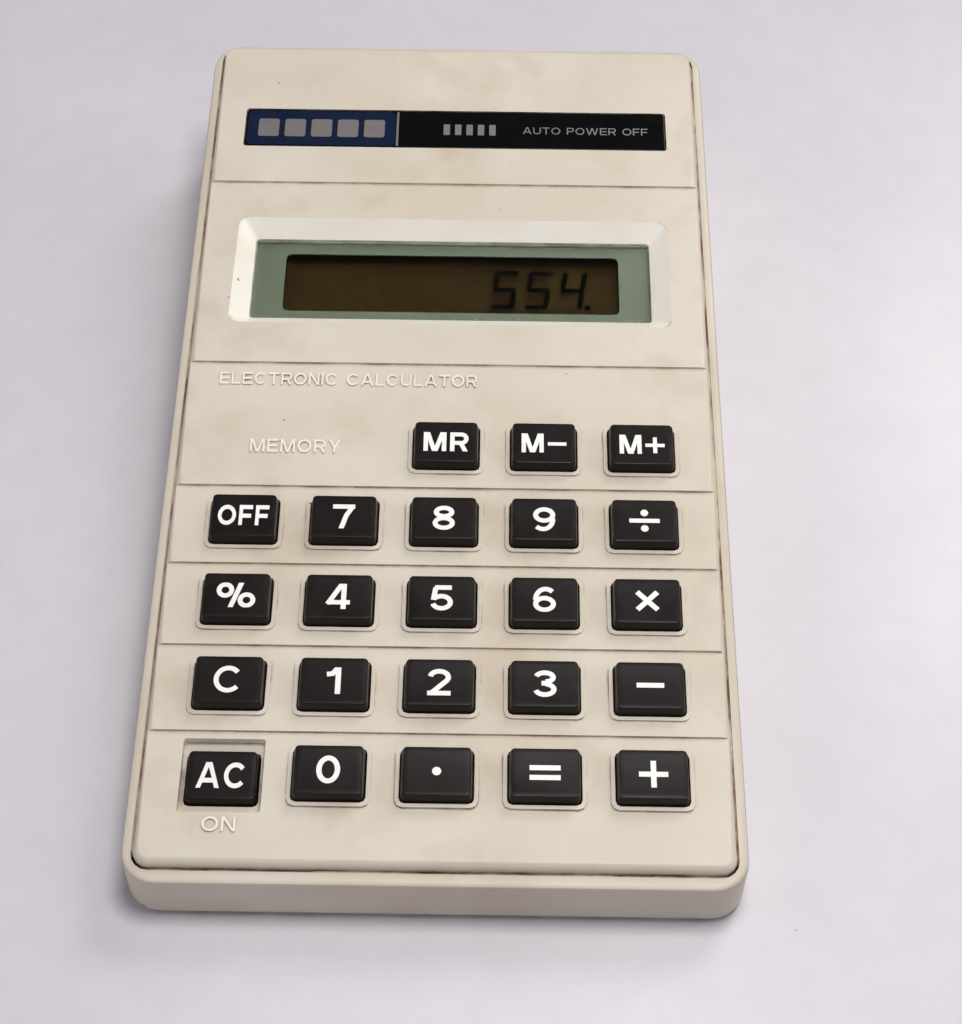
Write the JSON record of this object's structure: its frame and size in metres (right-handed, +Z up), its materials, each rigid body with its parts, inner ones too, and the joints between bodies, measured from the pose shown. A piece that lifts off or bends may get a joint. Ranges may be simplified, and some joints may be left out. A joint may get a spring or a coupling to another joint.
{
  "type": "pocket calculator",
  "caption": "Wedge-shaped handheld calculator: stepped face, recessed display window, dark push keys with collars, sliding battery door",
  "frame": {"origin": "middle of the footprint, on the flat base that rests on the table", "axes": "+X to the user's right, +Y from the user towards the display end, +Z up"},
  "size_m": [0.07, 0.129, 0.02],
  "materials": {
    "case_shell": "satin cream",
    "panel_shell": "satin ivory",
    "key_cap": "satin, white printed legend",
    "name_plate": "gloss black with a navy end",
    "clear_window": "clear",
    "printed_mask": "printed grey green",
    "display_glass": "polarised",
    "reflector_foil": "satin",
    "black_moulding": "satin",
    "grey_rubber": "matte",
    "board_laminate": "lacquered",
    "capacitor_sleeve": "shrunk sleeve",
    "resistor_body": "painted",
    "cell_jacket": "gloss",
    "plated_steel": "plated",
    "red_wire": "satin",
    "black_wire": "satin"
  },
  "bodies": {
    "root": {"lower_case": "case_shell", "front_panel": "panel_shell", "name_plate": "name_plate", "display_window": "clear_window", "display_mask": "printed_mask", "display_front_glass": "display_glass", "display_rear_glass": "display_glass", "display_reflector": "reflector_foil", "display_holder": "black_moulding", "display_connector": "grey_rubber", "rubber_keypad": "grey_rubber", "circuit_board": "board_laminate", "processor_chip": "black_moulding", "smoothing_capacitor": "capacitor_sleeve", "timing_resistor": "resistor_body", "rear_cell": "cell_jacket", "front_cell": "cell_jacket", "bridge_contact": "plated_steel", "positive_contact": "plated_steel", "negative_contact": "plated_steel", "red_lead": "red_wire", "black_lead": "black_wire", "case_screw_1": "plated_steel", "case_screw_2": "plated_steel", "case_screw_3": "plated_steel", "case_screw_4": "plated_steel", "board_screw_1": "plated_steel", "board_screw_2": "plated_steel", "board_screw_3": "plated_steel", "board_screw_4": "plated_steel"},
    "key_memory_recall": {"key_memory_recall": "key_cap"},
    "key_memory_minus": {"key_memory_minus": "key_cap"},
    "key_memory_plus": {"key_memory_plus": "key_cap"},
    "key_off": {"key_off": "key_cap"},
    "key_7": {"key_7": "key_cap"},
    "key_8": {"key_8": "key_cap"},
    "key_9": {"key_9": "key_cap"},
    "key_divide": {"key_divide": "key_cap"},
    "key_percent": {"key_percent": "key_cap"},
    "key_4": {"key_4": "key_cap"},
    "key_5": {"key_5": "key_cap"},
    "key_6": {"key_6": "key_cap"},
    "key_multiply": {"key_multiply": "key_cap"},
    "key_clear": {"key_clear": "key_cap"},
    "key_1": {"key_1": "key_cap"},
    "key_2": {"key_2": "key_cap"},
    "key_3": {"key_3": "key_cap"},
    "key_minus": {"key_minus": "key_cap"},
    "key_on_all_clear": {"key_on_all_clear": "key_cap"},
    "key_0": {"key_0": "key_cap"},
    "key_point": {"key_point": "key_cap"},
    "key_equals": {"key_equals": "key_cap"},
    "key_plus": {"key_plus": "key_cap"},
    "battery_door": {"battery_door": "case_shell"}
  },
  "joints": [
    {"name": "press_memory_recall", "type": "slide", "parent": "root", "child": "key_memory_recall", "axis": [0, 0.0923, -0.9957], "range_m": [0, 0.0012], "stiffness_N_per_m": 600, "deforming": ["rubber_keypad"]},
    {"name": "press_memory_minus", "type": "slide", "parent": "root", "child": "key_memory_minus", "axis": [0, 0.0923, -0.9957], "range_m": [0, 0.0012], "stiffness_N_per_m": 600, "deforming": ["rubber_keypad"]},
    {"name": "press_memory_plus", "type": "slide", "parent": "root", "child": "key_memory_plus", "axis": [0, 0.0923, -0.9957], "range_m": [0, 0.0012], "stiffness_N_per_m": 600, "deforming": ["rubber_keypad"]},
    {"name": "press_off", "type": "slide", "parent": "root", "child": "key_off", "axis": [0, 0.0923, -0.9957], "range_m": [0, 0.0012], "stiffness_N_per_m": 600, "deforming": ["rubber_keypad"]},
    {"name": "press_7", "type": "slide", "parent": "root", "child": "key_7", "axis": [0, 0.0923, -0.9957], "range_m": [0, 0.0012], "stiffness_N_per_m": 600, "deforming": ["rubber_keypad"]},
    {"name": "press_8", "type": "slide", "parent": "root", "child": "key_8", "axis": [0, 0.0923, -0.9957], "range_m": [0, 0.0012], "stiffness_N_per_m": 600, "deforming": ["rubber_keypad"]},
    {"name": "press_9", "type": "slide", "parent": "root", "child": "key_9", "axis": [0, 0.0923, -0.9957], "range_m": [0, 0.0012], "stiffness_N_per_m": 600, "deforming": ["rubber_keypad"]},
    {"name": "press_divide", "type": "slide", "parent": "root", "child": "key_divide", "axis": [0, 0.0923, -0.9957], "range_m": [0, 0.0012], "stiffness_N_per_m": 600, "deforming": ["rubber_keypad"]},
    {"name": "press_percent", "type": "slide", "parent": "root", "child": "key_percent", "axis": [0, 0.0923, -0.9957], "range_m": [0, 0.0012], "stiffness_N_per_m": 600, "deforming": ["rubber_keypad"]},
    {"name": "press_4", "type": "slide", "parent": "root", "child": "key_4", "axis": [0, 0.0923, -0.9957], "range_m": [0, 0.0012], "stiffness_N_per_m": 600, "deforming": ["rubber_keypad"]},
    {"name": "press_5", "type": "slide", "parent": "root", "child": "key_5", "axis": [0, 0.0923, -0.9957], "range_m": [0, 0.0012], "stiffness_N_per_m": 600, "deforming": ["rubber_keypad"]},
    {"name": "press_6", "type": "slide", "parent": "root", "child": "key_6", "axis": [0, 0.0923, -0.9957], "range_m": [0, 0.0012], "stiffness_N_per_m": 600, "deforming": ["rubber_keypad"]},
    {"name": "press_multiply", "type": "slide", "parent": "root", "child": "key_multiply", "axis": [0, 0.0923, -0.9957], "range_m": [0, 0.0012], "stiffness_N_per_m": 600, "deforming": ["rubber_keypad"]},
    {"name": "press_clear", "type": "slide", "parent": "root", "child": "key_clear", "axis": [0, 0.0923, -0.9957], "range_m": [0, 0.0012], "stiffness_N_per_m": 600, "deforming": ["rubber_keypad"]},
    {"name": "press_1", "type": "slide", "parent": "root", "child": "key_1", "axis": [0, 0.0923, -0.9957], "range_m": [0, 0.0012], "stiffness_N_per_m": 600, "deforming": ["rubber_keypad"]},
    {"name": "press_2", "type": "slide", "parent": "root", "child": "key_2", "axis": [0, 0.0923, -0.9957], "range_m": [0, 0.0012], "stiffness_N_per_m": 600, "deforming": ["rubber_keypad"]},
    {"name": "press_3", "type": "slide", "parent": "root", "child": "key_3", "axis": [0, 0.0923, -0.9957], "range_m": [0, 0.0012], "stiffness_N_per_m": 600, "deforming": ["rubber_keypad"]},
    {"name": "press_minus", "type": "slide", "parent": "root", "child": "key_minus", "axis": [0, 0.0923, -0.9957], "range_m": [0, 0.0012], "stiffness_N_per_m": 600, "deforming": ["rubber_keypad"]},
    {"name": "press_on_all_clear", "type": "slide", "parent": "root", "child": "key_on_all_clear", "axis": [0, 0.0923, -0.9957], "range_m": [0, 0.0012], "stiffness_N_per_m": 600, "deforming": ["rubber_keypad"]},
    {"name": "press_0", "type": "slide", "parent": "root", "child": "key_0", "axis": [0, 0.0923, -0.9957], "range_m": [0, 0.0012], "stiffness_N_per_m": 600, "deforming": ["rubber_keypad"]},
    {"name": "press_point", "type": "slide", "parent": "root", "child": "key_point", "axis": [0, 0.0923, -0.9957], "range_m": [0, 0.0012], "stiffness_N_per_m": 600, "deforming": ["rubber_keypad"]},
    {"name": "press_equals", "type": "slide", "parent": "root", "child": "key_equals", "axis": [0, 0.0923, -0.9957], "range_m": [0, 0.0012], "stiffness_N_per_m": 600, "deforming": ["rubber_keypad"]},
    {"name": "press_plus", "type": "slide", "parent": "root", "child": "key_plus", "axis": [0, 0.0923, -0.9957], "range_m": [0, 0.0012], "stiffness_N_per_m": 600, "deforming": ["rubber_keypad"]},
    {"name": "door_slide", "type": "slide", "parent": "root", "child": "battery_door", "axis": [0, 1, 0], "range_m": [0, 0.031]}
  ]
}
